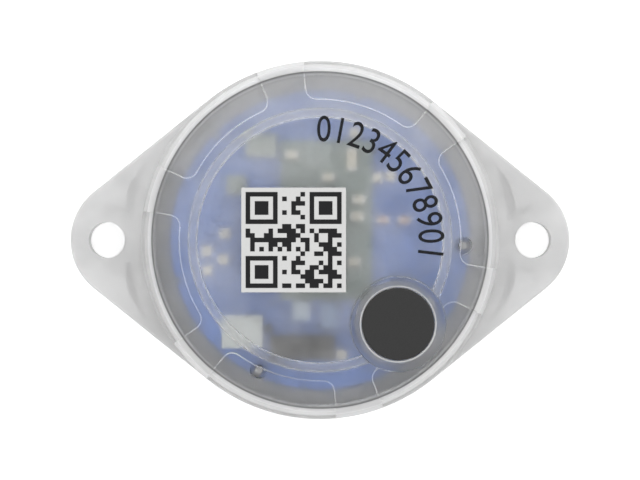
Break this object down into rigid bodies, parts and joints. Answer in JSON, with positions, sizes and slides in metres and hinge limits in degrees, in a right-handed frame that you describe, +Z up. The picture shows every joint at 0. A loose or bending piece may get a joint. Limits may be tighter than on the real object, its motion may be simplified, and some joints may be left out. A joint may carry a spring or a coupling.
{
  "type": "wireless sensor tag",
  "caption": "Round clear sensor tag with a twist-lock cap, a rubber push button, a code label and two screw ears.",
  "frame": {"origin": "centre of the base's underside, on the axis of the round cap", "axes": "+X through the two screw ears, +Y across them so that the button lies at +X -Y, +Z up from the mounting surface through the cap"},
  "size_m": [0.065, 0.0468, 0.0177],
  "materials": {
    "clear_plastic": "frosted clear",
    "seal_rubber": "matt",
    "label_face": "satin",
    "board_mask": "satin",
    "screw_steel": "bright",
    "holder_plastic": "matt",
    "nickel": "bright",
    "cell_steel": "satin",
    "cell_gasket": "matt",
    "cell_filling": "matt",
    "module_mask": "satin",
    "shield_tin": "satin",
    "chip_black": "matt",
    "ceramic_beige": "satin",
    "ceramic_white": "satin",
    "led_lens": "gloss",
    "can_steel": "satin",
    "switch_plastic": "matt",
    "button_rubber": "matt",
    "stem_plastic": "matt",
    "clear_silicone": "clear"
  },
  "bodies": {
    "base": {"base_shell": "clear_plastic", "cap_seal_ring": "seal_rubber"},
    "cap": {"cap_shell": "clear_plastic", "label_sheet": "label_face", "circuit_board": "board_mask", "board_screws": "screw_steel", "battery_holder": "holder_plastic", "battery_contact_positive": "nickel", "battery_contact_negative": "nickel", "battery_can": "cell_steel", "battery_lid": "cell_steel", "battery_gasket": "cell_gasket", "battery_core": "cell_filling", "radio_module_board": "module_mask", "radio_shield": "shield_tin", "radio_chip": "chip_black", "chip_antenna": "ceramic_beige", "module_capacitors": "ceramic_beige", "board_capacitors": "ceramic_beige", "resistors": "chip_black", "status_leds": "led_lens", "sensor_can": "can_steel", "service_connector": "switch_plastic", "motion_sensor": "ceramic_white", "temperature_sensor": "ceramic_white", "memory_chip": "ceramic_white", "crystal": "shield_tin", "switch_housing": "switch_plastic", "switch_cover": "nickel", "switch_terminals": "nickel", "button_retainer": "clear_plastic"},
    "button": {"button_pad": "button_rubber", "button_skirt": "clear_silicone", "button_stem": "stem_plastic", "button_seal_ring": "seal_rubber"},
    "plunger": {"switch_plunger": "stem_plastic"}
  },
  "joints": [
    {"name": "cap_twist", "type": "hinge", "parent": "base", "child": "cap", "pos_m": [0, 0, 0], "axis": [0, 0, 1], "range_deg": [0, 25]},
    {"name": "button_press", "type": "slide", "parent": "cap", "child": "button", "axis": [0, 0, -1], "range_m": [0, 0.0004], "stiffness_N_per_m": 4000, "springref_m": -0.0001},
    {"name": "switch_plunger_press", "type": "slide", "parent": "cap", "child": "plunger", "axis": [0, 0, -1], "range_m": [0, 0.0004]}
  ],
  "couplings": [
    {"joint": "switch_plunger_press", "follows": "button_press", "ratio": 1}
  ]
}
